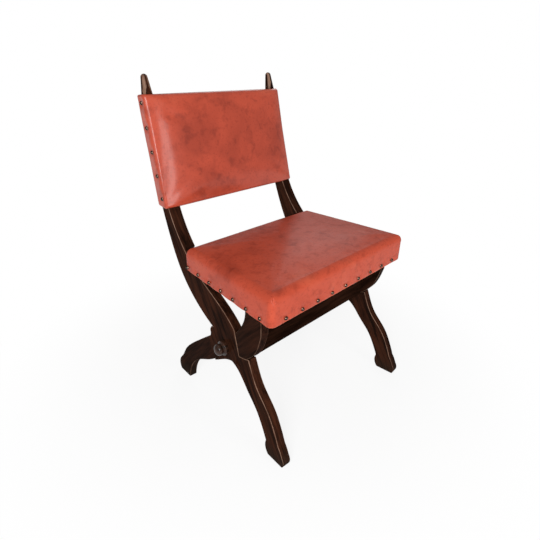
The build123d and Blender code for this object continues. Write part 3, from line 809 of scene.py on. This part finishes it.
# Width of the step from hidden hide to hide that nails and waves may move.
HIDE_STEP = 1e-4

# Clearance of the openings around the boards.
OPENING_GAP = 0.0004

# The seat cover's opening round a bracket, as depth from the seat's middle and height over its rim.
BRACKET_OPENING = ((0.110, -0.02), (0.112, -0.001), (0.1672, 0.0363),
                   (0.1865, 0.052), (0.210, 0.052), (0.215, -0.02))
BRACKET_DEEP = 0.0246

# Where the hide is tacked and where it is free: height over the seat's rim, depth behind the back's face.
SEAT_TACKED, SEAT_FREE = 0.020, 0.045
BACK_FREE, BACK_TACKED = 0.012, 0.024

# The tuck at each front corner: angle round the corner and half width, both in degrees, and height.
TUCK_RIDGE = (50, 9, 0.0012)
TUCK_GROOVE = (70, 7, 0.0014)


# ---- the pieces -------------------------------------------------------------
class ChairOperator:
    bl_options = {"REGISTER", "UNDO"}


class CHAIR_OT_side_frames(ChairOperator, bpy.types.Operator):
    """Stain the four curved boards of the two side frames"""
    bl_idname = "chair.side_frames"
    bl_label = "Side frames"

    def execute(self, context):
        c = colours()
        lean = math.atan(sizes().splay)
        for side, sign in (("left", 1), ("right", -1)):
            face = (math.cos(lean), -sign * math.sin(lean), 0)
            post = oak(f"{side} post oak", c.oak_main, math.radians(58), face, 0.8)
            rear = oak(f"{side} bracket oak", c.bracket_main, math.radians(-48.5), face, 0.4)
            dress(f"{side}_post_and_front_leg", post)
            dress(f"{side}_bracket_and_rear_leg", rear)
        return {"FINISHED"}


class CHAIR_OT_hub(ChairOperator, bpy.types.Operator):
    """Polish the turned hub stretcher and its knobs"""
    bl_idname = "chair.hub"
    bl_label = "Hub stretcher and knobs"

    def execute(self, context):
        material = turned_oak("turned oak")
        for node in ("hub_stretcher", "left_hub_knob", "right_hub_knob"):
            dress(node, material)
        return {"FINISHED"}


class CHAIR_OT_front_board(ChairOperator, bpy.types.Operator):
    """Stain the board between the brackets"""
    bl_idname = "chair.front_board"
    bl_label = "Front board"

    def execute(self, context):
        dress("front_board", board_oak("front board oak"))
        return {"FINISHED"}


class CHAIR_OT_inner_frames(ChairOperator, bpy.types.Operator):
    """Finish the beech rails, glue blocks, dowels and screws under the covers"""
    bl_idname = "chair.inner_frames"
    bl_label = "Rails, blocks and screws"

    def execute(self, context):
        across = beech("beech across", ACROSS)
        deep = beech("beech deep", DEEP)
        upright = beech("beech upright", UPRIGHT)
        for node in ("seat_front_rail", "seat_rear_rail", "back_top_rail", "back_bottom_rail"):
            dress(node, across)
        for node in ("seat_left_rail", "seat_right_rail"):
            dress(node, deep)
        for node in ("seat_corner_blocks", "seat_dowels"):
            dress(node, upright)
        dress("seat_block_screws", screw_steel("screw steel"))
        return {"FINISHED"}


class CHAIR_OT_nails(ChairOperator, bpy.types.Operator):
    """Give the round-headed nails their dark bronze"""
    bl_idname = "chair.nails"
    bl_label = "Upholstery nails"

    def execute(self, context):
        material = nail_bronze("nail bronze")
        for node in ("seat_front_nails", "seat_left_nails", "seat_right_nails",
                     "back_left_nails", "back_right_nails"):
            dress(node, material)
        return {"FINISHED"}


# Thickness and number of the straps, their spacing in strap widths, and where the weave changes sides.
STRAP_THICK = 0.0013
LONG_STRAPS, CROSS_STRAPS = 4, 3
LONG_SPACING, CROSS_SPACING = 2, 1.7
CROSSING_NEAR, CROSSING_FAR = 0.018, 0.040


def strap_level(place, crossings, order):
    """Level of a strap at a place along it, from 0 under the straps that cross it to 1 over them."""
    level = 0.5
    for k, centre in enumerate(crossings):
        near = 1 - smoothstep(abs(place - centre), CROSSING_NEAR, CROSSING_FAR)
        level += (0.5 if (order + k) % 2 else -0.5) * near
    return level


class CHAIR_OT_seat_webbing(ChairOperator, bpy.types.Operator):
    """Interlace the webbing straps over the seat frame"""
    bl_idname = "chair.seat_webbing"
    bl_label = "Seat webbing"

    def execute(self, context):
        low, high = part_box("seat_webbing")
        width = sizes().strap_width
        rise = high.z - low.z - STRAP_THICK
        long_x = [(k - 1.5) * LONG_SPACING * width for k in range(LONG_STRAPS)]
        cross_first = MID_Y - 0.150 + 0.020 + width / 2
        cross_y = [cross_first + k * CROSS_SPACING * width for k in range(CROSS_STRAPS)]
        meshes = []
        for i, x in enumerate(long_x):
            path = []
            for y in np.linspace(low.y + 0.0005, high.y - 0.0005, 56):
                front_end = smoothstep(y, low.y + 0.03, low.y + 0.05)
                rear_end = 1 - smoothstep(y, high.y - 0.04, high.y - 0.02)
                ends = min(front_end, rear_end)
                path.append((x, y, low.z + rise * strap_level(y, cross_y, i) * ends))
            meshes.append(strip("long strap", path, (1, 0, 0), width, STRAP_THICK))
        for k, y in enumerate(cross_y):
            reach = half(y) - 0.0065
            path = []
            for x in np.linspace(-reach, reach, 84):
                ends = 1 - smoothstep(abs(x), reach - 0.04, reach - 0.02)
                path.append((x, y, low.z + rise * strap_level(x, long_x, k + 1) * ends))
            meshes.append(strip("cross strap", path, (0, 1, 0), width, STRAP_THICK))
        piece = add_object("seat_webbing_straps", join_meshes("seat_webbing_straps", meshes))
        piece.data.materials.append(jute("webbing jute", 420.0))
        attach(piece, "root")
        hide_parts("seat_webbing")
        return {"FINISHED"}


class CHAIR_OT_seat_hessian(ChairOperator, bpy.types.Operator):
    """Stretch the hessian over the seat webbing"""
    bl_idname = "chair.seat_hessian"
    bl_label = "Seat hessian"

    def execute(self, context):
        low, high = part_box("seat_hessian")
        grid = sheet_grid(
            70, 96, (low.y + 0.001, high.y - 0.001), lambda y: half(y) - 0.0045,
            lambda x, y: (x, y, low.z + 0.00015 + pull_of_threads(x, y, 0.7) * 0.00012))
        piece = thin_cloth("seat_hessian_cloth", grid, 0.0007, (0, 0, 1))
        piece.data.materials.append(jute("seat hessian jute", 640.0))
        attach(piece, "root")
        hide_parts("seat_hessian")
        return {"FINISHED"}


# Height where the lines of the back start, and the rise over which they lean back.
LINE_FOOT = 0.533
LINE_RISE = 0.273

# Gap between a thin sheet of the back and the posts' edge that it lies on.
SHEET_GAP = 0.0004


def on_line(z, depth, lean):
    """Depth at height z of a line of the back, from its depth behind the seat's middle and its lean."""
    return MID_Y + depth + (z - LINE_FOOT) / LINE_RISE * lean


def post_front(z):
    """Depth of the posts' front edge at height z."""
    return on_line(z, 0.250, 0.071)


def post_rear(z):
    """Depth of the posts' rear edge at height z."""
    return on_line(z, 0.287, 0.056)


def pad_front(z):
    """Depth of the pad's face at height z, before it is crowned."""
    return on_line(z, 0.243, 0.059)


def pad_rear(z):
    """Depth of the pad's rear rim at height z."""
    return on_line(z, 0.285, 0.060)


def on_sides(points, proud):
    """1 on a cover's outer sides and 0 inside them."""
    s = sizes()
    return smoothstep(np.abs(points[:, 0]) - (half(points[:, 1]) + proud - s.leather * 0.6), 0, HIDE_STEP)


def bulge(turn, angle, width, height):
    return np.exp(-((turn - angle) / width) ** 2) * height


def wave_hide(points, normals, skin, nails, waves):
    """Draw the hide in round its nails, then wave it; a wave is its scale, its seed and its height."""
    points = press_nails(points, normals * skin[:, None], nails)
    rise = sum(ripple(points, scale, seed) * height for scale, seed, height in waves)
    return points + normals * (rise * skin)[:, None]


class CHAIR_OT_seat_cover(ChairOperator, bpy.types.Operator):
    """Make the padded seat with its tucked leather cover"""
    bl_idname = "chair.seat_cover"
    bl_label = "Seat cover"

    def execute(self, context):
        s = sizes()
        mid_half = s.frame_half + s.seat_proud
        plan = Plan(mid_half, SEAT_HALF_DEPTH, s.seat_corner, s.cell)
        base = SEAT_LOW.z

        def top(x, y):
            share = (y / SEAT_HALF_DEPTH + 1) / 2
            level = s.seat_front_top + (s.seat_rear_top - s.seat_front_top) * share
            u = np.clip(np.abs(x) / mid_half, 0, 1)
            v = np.clip(np.abs(y) / SEAT_HALF_DEPTH, 0, 1)
            return level + s.seat_crown * (1 - u ** 2.6) * (1 - v ** 2.6) - 0.001

        def place(flat, share, drop):
            x, y = flat[:, 0], flat[:, 1]
            scale = (half(MID_Y + y) + s.seat_proud) / mid_half
            z = (top(x, y) - drop) * (1 - share) + base * share
            return np.stack([x * scale, MID_Y + y, z], axis=-1)

        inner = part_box("seat_hessian")[1].z + 0.0003
        floor_level = (s.seat_front_top - s.seat_edge - inner) / (s.seat_front_top - s.seat_edge - base)

        piece = padded_cover("seat_cover", plan, s.seat_edge, s.leather, SEAT_ROWS, SEAT_INNER_ROWS,
                             place, floor_level)
        points = coordinates(piece.data)
        rim = len(plan.rim)
        inner_first = plan.inner_first(SEAT_ROWS)
        points[inner_first:, 2] = inner
        for k, level in enumerate(np.linspace(base, inner, SEAT_INNER_ROWS + 1)):
            points[inner_first + k * rim:inner_first + (k + 1) * rim, 2] = level
        set_coordinates(piece.data, points)
        hold = 1 - smoothstep(points[:, 2], base + SEAT_TACKED, base + SEAT_FREE)
        hold[inner_first - rim:] = 1.0
        fill_cover(piece, hold, s.swell)
        mesh, points, normals = smoothed(piece)
        front = smoothstep(SEAT_LOW.y + s.leather * 0.5 - points[:, 1], 0, HIDE_STEP)
        top_side = smoothstep(points[:, 2], base + 0.05, base + 0.06)
        skin = np.clip(on_sides(points, s.seat_proud) + front + top_side, 0, 1)
        points = wave_hide(points, normals, skin, ["seat_front_nails", "seat_left_nails", "seat_right_nails"],
                           [(14.0, 0.0, 0.0006), (45.0, 3.0, 0.00018)])
        # Each front corner has a folded tuck: a ridge down the corner with a groove beside it.
        for sign in (-1, 1):
            corner_x = sign * (half(SEAT_LOW.y) + s.seat_proud - s.seat_corner)
            corner_y = SEAT_LOW.y + s.seat_corner
            dx, dy = (points[:, 0] - corner_x) * sign, -(points[:, 1] - corner_y)
            near = (dx > -0.02) & (dy > -0.02)
            turn = np.degrees(np.arctan2(dy, dx))
            fade = smoothstep(points[:, 2], base + 0.002, base + 0.012)
            fade = fade * (1 - smoothstep(points[:, 2], s.seat_front_top - 0.008, s.seat_front_top + 0.004))
            ridge = bulge(turn, *TUCK_RIDGE) - bulge(turn, *TUCK_GROOVE)
            points = points + normals * (near * ridge * fade * skin)[:, None]
        set_coordinates(mesh, points)
        cut_away(piece, [(MID_Y + y, base + z) for y, z in BRACKET_OPENING], -OPENING_GAP, BRACKET_DEEP)
        piece.data.materials.append(leather("seat leather", "Z", base + 0.0034, base + 0.0006, 0.14))
        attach(piece, "root")
        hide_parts("seat_leather", "seat_stuffing")
        return {"FINISHED"}


class CHAIR_OT_back_cover(ChairOperator, bpy.types.Operator):
    """Make the padded back with its leather cover"""
    bl_idname = "chair.back_cover"
    bl_label = "Back cover"

    def execute(self, context):
        s = sizes()
        mid_half = half(MID_Y + 0.29) + s.back_proud
        plan = Plan(mid_half, BACK_HALF_HEIGHT, s.back_corner, s.cell)

        def full(x, up):
            u = np.clip(np.abs(x) / mid_half, 0, 1)
            v = np.clip(np.abs(up) / BACK_HALF_HEIGHT, 0, 1)
            z = BACK_MID_Z + up
            room = np.minimum(s.back_roll, post_front(z) - pad_front(z) - 0.003)
            roll = room * (1 - np.clip((mid_half - np.abs(x)) / 0.055, 0, 1)) ** 2.2
            return 0.004 * (1 - u ** 6) * (1 - v ** 6) - roll

        def place(flat, share, drop):
            x, up = flat[:, 0], flat[:, 1]
            z = BACK_MID_Z + up - 0.004 * share * smoothstep(up, BACK_HALF_HEIGHT - 0.012, BACK_HALF_HEIGHT)
            fore, aft = pad_front(z) + 0.001 - full(x, up), pad_rear(z)
            y = (fore + drop) * (1 - share) + aft * share
            scale = (half(y) + s.back_proud) / mid_half
            return np.stack([x * scale, y, z], axis=-1)

        piece = padded_cover("back_cover", plan, s.back_edge, s.leather, BACK_ROWS, BACK_INNER_ROWS,
                             place, 0.5)
        points = coordinates(piece.data)
        rim = len(plan.rim)
        inner_first = plan.inner_first(BACK_ROWS)
        z = points[:, 2]
        core = post_front(z) - 0.0003
        points[inner_first:, 1] = core[inner_first:]
        for k in range(BACK_INNER_ROWS + 1):
            ids = slice(inner_first + k * rim, inner_first + (k + 1) * rim)
            share = k / BACK_INNER_ROWS
            points[ids, 1] = pad_rear(z[ids]) * (1 - share) + core[ids] * share
        set_coordinates(piece.data, points)
        hold = smoothstep(points[:, 1] - pad_front(z), BACK_FREE, BACK_TACKED)
        hold[inner_first - rim:] = 1.0
        fill_cover(piece, hold, s.swell)
        mesh, points, normals = smoothed(piece)
        behind = points[:, 1] - pad_front(points[:, 2])
        skin = np.clip(on_sides(points, s.back_proud) + (1 - smoothstep(behind, 0.002, 0.004)), 0, 1)
        points = wave_hide(points, normals, skin, ["back_left_nails", "back_right_nails"],
                           [(12.0, 5.0, 0.0005), (40.0, 8.0, 0.00015)])
        set_coordinates(mesh, points)
        low_z, high_z = BACK_LOW.z - 0.02, BACK_HIGH.z + 0.02
        outline = [(post_front(low_z) - OPENING_GAP, low_z), (post_rear(low_z) + OPENING_GAP, low_z),
                   (post_rear(high_z) + OPENING_GAP, high_z), (post_front(high_z) - OPENING_GAP, high_z)]
        cut_away(piece, outline, -OPENING_GAP, s.post_thickness + OPENING_GAP)
        rim_y = BACK_HIGH.y
        piece.data.materials.append(leather("back leather", "Y", rim_y + 0.01, rim_y + 0.02, 0.65))
        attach(piece, "root")
        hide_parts("back_leather", "back_stuffing")
        return {"FINISHED"}


class CHAIR_OT_back_webbing(ChairOperator, bpy.types.Operator):
    """Set the upright webbing straps between the back rails"""
    bl_idname = "chair.back_webbing"
    bl_label = "Back webbing"

    def execute(self, context):
        low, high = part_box("back_webbing")
        width = sizes().strap_width
        meshes = []
        for k in range(4):
            x = (k - 1.5) * 1.8 * width
            points = np.zeros((40, 7, 3))
            for i, z in enumerate(np.linspace(low.z + 0.0005, high.z - 0.0005, 40)):
                for j in range(7):
                    points[i, j] = (x + (j / 6 - 0.5) * width, post_front(z) + 0.0017, z)
            sheet = thin_cloth("back strap", points, 0.0012, (0, 1, 0))
            meshes.append(sheet.data)
            bpy.data.objects.remove(sheet)
        piece = add_object("back_webbing_straps", join_meshes("back_webbing_straps", meshes))
        piece.data.materials.append(jute("back webbing jute", 420.0, UPRIGHT))
        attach(piece, "root")
        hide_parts("back_webbing")
        return {"FINISHED"}


class CHAIR_OT_back_hessian(ChairOperator, bpy.types.Operator):
    """Stretch the hessian in front of the back webbing"""
    bl_idname = "chair.back_hessian"
    bl_label = "Back hessian"

    def execute(self, context):
        s = sizes()
        low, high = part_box("back_hessian")
        grid = sheet_grid(
            60, 84, (low.z + 0.001, high.z - 0.001),
            lambda z: half(post_front(z) + SHEET_GAP) - s.post_thickness - 0.0026,
            lambda x, z: (x, post_front(z) + SHEET_GAP + pull_of_threads(x, z, 2.2) * 0.0001, z))
        piece = thin_cloth("back_hessian_cloth", grid, 0.0007, (0, 1, 0))
        piece.data.materials.append(jute("back hessian jute", 640.0, UPRIGHT))
        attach(piece, "root")
        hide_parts("back_hessian")
        return {"FINISHED"}


class CHAIR_OT_back_rear_cover(ChairOperator, bpy.types.Operator):
    """Close the back with a flat leather panel"""
    bl_idname = "chair.back_rear_cover"
    bl_label = "Rear cover of the back"

    def execute(self, context):
        low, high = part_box("back_rear_cover")
        z_mid, z_half = (low.z + high.z) / 2, (high.z - low.z) / 2

        def reach(z):
            return half(post_rear(z) + SHEET_GAP) - 0.0032

        def point(x, z):
            u, v = abs(x) / reach(z), abs(z - z_mid) / z_half
            edge = min(reach(z) - abs(x), z_half - abs(z - z_mid))
            hem = 0.0006 * math.exp(-((edge - 0.006) / 0.004) ** 2)
            full = 0.0012 * (1 - u ** 3) * (1 - v ** 3)
            pull = noise.noise(Vector((x * 9, z * 9, 4.1))) * 0.0005 * (1 - u ** 4) * (1 - v ** 4)
            return x, post_rear(z) + SHEET_GAP + hem + full + pull, z

        grid = sheet_grid(56, 90, (low.z, high.z), reach, point)
        piece = thin_cloth("back_rear_panel", grid, 0.0013, (0, 1, 0))
        piece.data.materials.append(leather("rear panel leather", "Z", low.z + 0.003, low.z, 0.3))
        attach(piece, "root")
        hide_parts("back_rear_cover")
        return {"FINISHED"}


# ---- stage ------------------------------------------------------------------
CAMERA_PLACE = Vector((-0.80736, -0.79638, 0.95133))
CAMERA_TURN = (-0.8797281, 0.4692149, 0.0685876)
CAMERA_FOCAL = 443.9587
CAMERA_CENTRE = (315.2717, 263.8180)
CAMERA_PIXELS = 540


def camera_matrix():
    """The camera's place and turn; CAMERA_TURN is azimuth, elevation and roll."""
    azimuth, elevation, roll = CAMERA_TURN
    look = Vector((-math.sin(azimuth) * math.cos(elevation), math.cos(azimuth) * math.cos(elevation),
                   -math.sin(elevation)))
    right = look.cross(Vector((0, 0, 1))).normalized()
    up = right.cross(look)
    c, s = math.cos(roll), math.sin(roll)
    right, up = c * right + s * up, -s * right + c * up
    turn = Matrix((right, up, -look)).transposed().to_4x4()
    return Matrix.Translation(CAMERA_PLACE) @ turn


def area_light(name, place, target, size_x, size_y, power):
    """A soft lamp at a place, aimed at a target."""
    data = bpy.data.lights.new(name, "AREA")
    data.shape = "RECTANGLE"
    data.size, data.size_y = size_x, size_y
    data.energy = power
    lamp = bpy.data.objects.new(name, data)
    bpy.context.scene.collection.objects.link(lamp)
    lamp.location = place
    lamp.rotation_mode = "QUATERNION"
    lamp.rotation_quaternion = (Vector(target) - Vector(place)).to_track_quat("-Z", "Y")


def seen_rays(w):
    """1 for rays from the eye, or from a mirror or glass in front of it."""
    path = w.node("ShaderNodeLightPath").outputs
    seen = w.math("MAXIMUM", path["Is Camera Ray"], path["Is Glossy Ray"])
    return w.math("MAXIMUM", seen, path["Is Transmission Ray"])


class CHAIR_OT_stage(ChairOperator, bpy.types.Operator):
    """Set the pale floor, the soft lamps and the camera"""
    bl_idname = "chair.stage"
    bl_label = "Stage"

    def execute(self, context):
        scene = context.scene
        mesh = bpy.data.meshes.new("floor")
        mesh.from_pydata([(-9, -9, 0), (9, -9, 0), (9, 9, 0), (-9, 9, 0)], [], [(0, 1, 2, 3)])
        floor = add_object("floor", mesh, smooth=False)
        material = bpy.data.materials.new("pale floor")
        material.use_nodes = True
        tree = material.node_tree
        tree.nodes.remove(tree.nodes["Principled BSDF"])
        w = Wiring(tree)
        plain = w.node("ShaderNodeBsdfDiffuse", {"Color": (0.86, 0.86, 0.86, 1)})
        glow = w.node("ShaderNodeEmission", {"Color": (1, 1, 1, 1), "Strength": 1.0})
        spot = w.node("ShaderNodeTexCoord").outputs["Object"]
        distance = w.node("ShaderNodeVectorMath", {0: spot}, operation="LENGTH").outputs["Value"]
        share = w.band(distance, 0.35, 0.9, 0.86, 1.0)
        mixed = w.node("ShaderNodeMixShader", {0: w.times(seen_rays(w), share)})
        tree.links.new(plain.outputs[0], mixed.inputs[1])
        tree.links.new(glow.outputs[0], mixed.inputs[2])
        tree.links.new(mixed.outputs[0], tree.nodes["Material Output"].inputs["Surface"])
        mesh.materials.append(material)
        world = bpy.data.worlds.new("studio")
        scene.world = world
        world.use_nodes = True
        w = Wiring(world.node_tree)
        background = world.node_tree.nodes["Background"]
        w.feed(background.inputs["Color"], (1, 1, 1, 1))
        seen = w.node("ShaderNodeLightPath").outputs["Is Camera Ray"]
        w.feed(background.inputs["Strength"], w.plus(w.times(seen, 0.66), 0.34))
        area_light("window", (-2.2, -1.35, 1.85), (0, 0, 0.45), 1.0, 1.0, 52)
        area_light("front strip", (0.05, -2.2, 0.68), (-0.05, 0.1, 0.6), 0.7, 1.4, 18)
        area_light("near lamp", (-1.15, -1.05, 0.95), (0, 0, 0.5), 0.10, 0.25, 4.5)
        area_light("rear glow", (1.7, 1.5, 1.7), (0, 0, 0.45), 1.4, 1.0, 8)
        data = bpy.data.cameras.new("camera")
        data.sensor_fit = "HORIZONTAL"
        data.sensor_width = 36
        data.lens = CAMERA_FOCAL / CAMERA_PIXELS * data.sensor_width
        data.shift_x = (CAMERA_PIXELS / 2 - CAMERA_CENTRE[0]) / CAMERA_PIXELS
        data.shift_y = (CAMERA_CENTRE[1] - CAMERA_PIXELS / 2) / CAMERA_PIXELS
        camera = bpy.data.objects.new("camera", data)
        scene.collection.objects.link(camera)
        camera.matrix_world = camera_matrix()
        scene.camera = camera
        scene.view_settings.view_transform = "Standard"
        return {"FINISHED"}


OPERATORS = (
    CHAIR_OT_side_frames,
    CHAIR_OT_hub,
    CHAIR_OT_front_board,
    CHAIR_OT_inner_frames,
    CHAIR_OT_nails,
    CHAIR_OT_seat_webbing,
    CHAIR_OT_seat_hessian,
    CHAIR_OT_seat_cover,
    CHAIR_OT_back_webbing,
    CHAIR_OT_back_hessian,
    CHAIR_OT_back_cover,
    CHAIR_OT_back_rear_cover,
    CHAIR_OT_stage,
)


class CHAIR_PT_panel(bpy.types.Panel):
    """Lists the chair's pieces, sizes and colours"""
    bl_idname = "CHAIR_PT_panel"
    bl_label = "X-frame chair"
    bl_space_type = "VIEW_3D"
    bl_region_type = "UI"
    bl_category = "Chair"

    def draw(self, context):
        for kind in OPERATORS:
            self.layout.operator(kind.bl_idname)
        for group in (context.scene.chair_sizes, context.scene.chair_colours):
            box = self.layout.box()
            for key in group.__annotations__:
                box.prop(group, key)


CLASSES = (ChairSizes, ChairColours, *OPERATORS, CHAIR_PT_panel)


def register():
    for kind in CLASSES:
        bpy.utils.register_class(kind)
    bpy.types.Scene.chair_sizes = bpy.props.PointerProperty(type=ChairSizes)
    bpy.types.Scene.chair_colours = bpy.props.PointerProperty(type=ChairColours)


def unregister():
    del bpy.types.Scene.chair_sizes
    del bpy.types.Scene.chair_colours
    for kind in reversed(CLASSES):
        bpy.utils.unregister_class(kind)


def main():
    register()
    for kind in OPERATORS:
        area, action = kind.bl_idname.split(".")
        getattr(getattr(bpy.ops, area), action)()
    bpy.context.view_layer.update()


if __name__ == "__main__":
    main()
